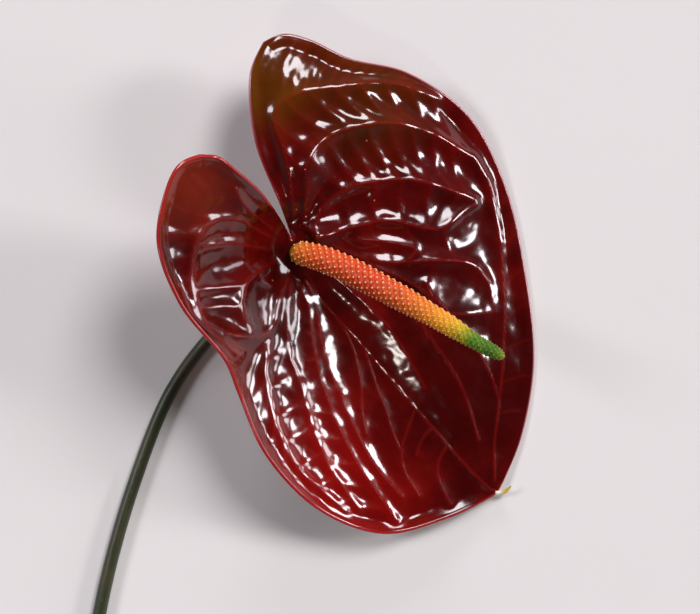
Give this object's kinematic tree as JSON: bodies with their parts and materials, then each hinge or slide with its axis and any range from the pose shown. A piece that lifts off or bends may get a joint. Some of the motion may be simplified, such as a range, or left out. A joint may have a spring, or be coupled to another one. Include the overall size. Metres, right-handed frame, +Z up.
{
  "type": "cut anthurium flower",
  "caption": "Cut anthurium lying down: glossy dark red heart-shaped spathe, raised spadix shading from orange to green, and a smooth green stem.",
  "frame": {"origin": "middle of the footprint, on the surface that the flower lies on", "axes": "+Z up, away from the surface; +Y from the stem's cut end towards the lobes of the spathe; +X towards the side that the spathe's tip and its low right-hand rim lie on"},
  "size_m": [0.1906, 0.3716, 0.0681],
  "materials": {
    "spathe": "lacquered dark red leaf surface with fine raised veins and dished cells between them",
    "spadix": "beaded, orange turning yellow and then green at the tip",
    "stem": "smooth satin green skin"
  },
  "bodies": {
    "root": {"spathe": "spathe", "spadix": "spadix", "stem": "stem"}
  },
  "joints": []
}
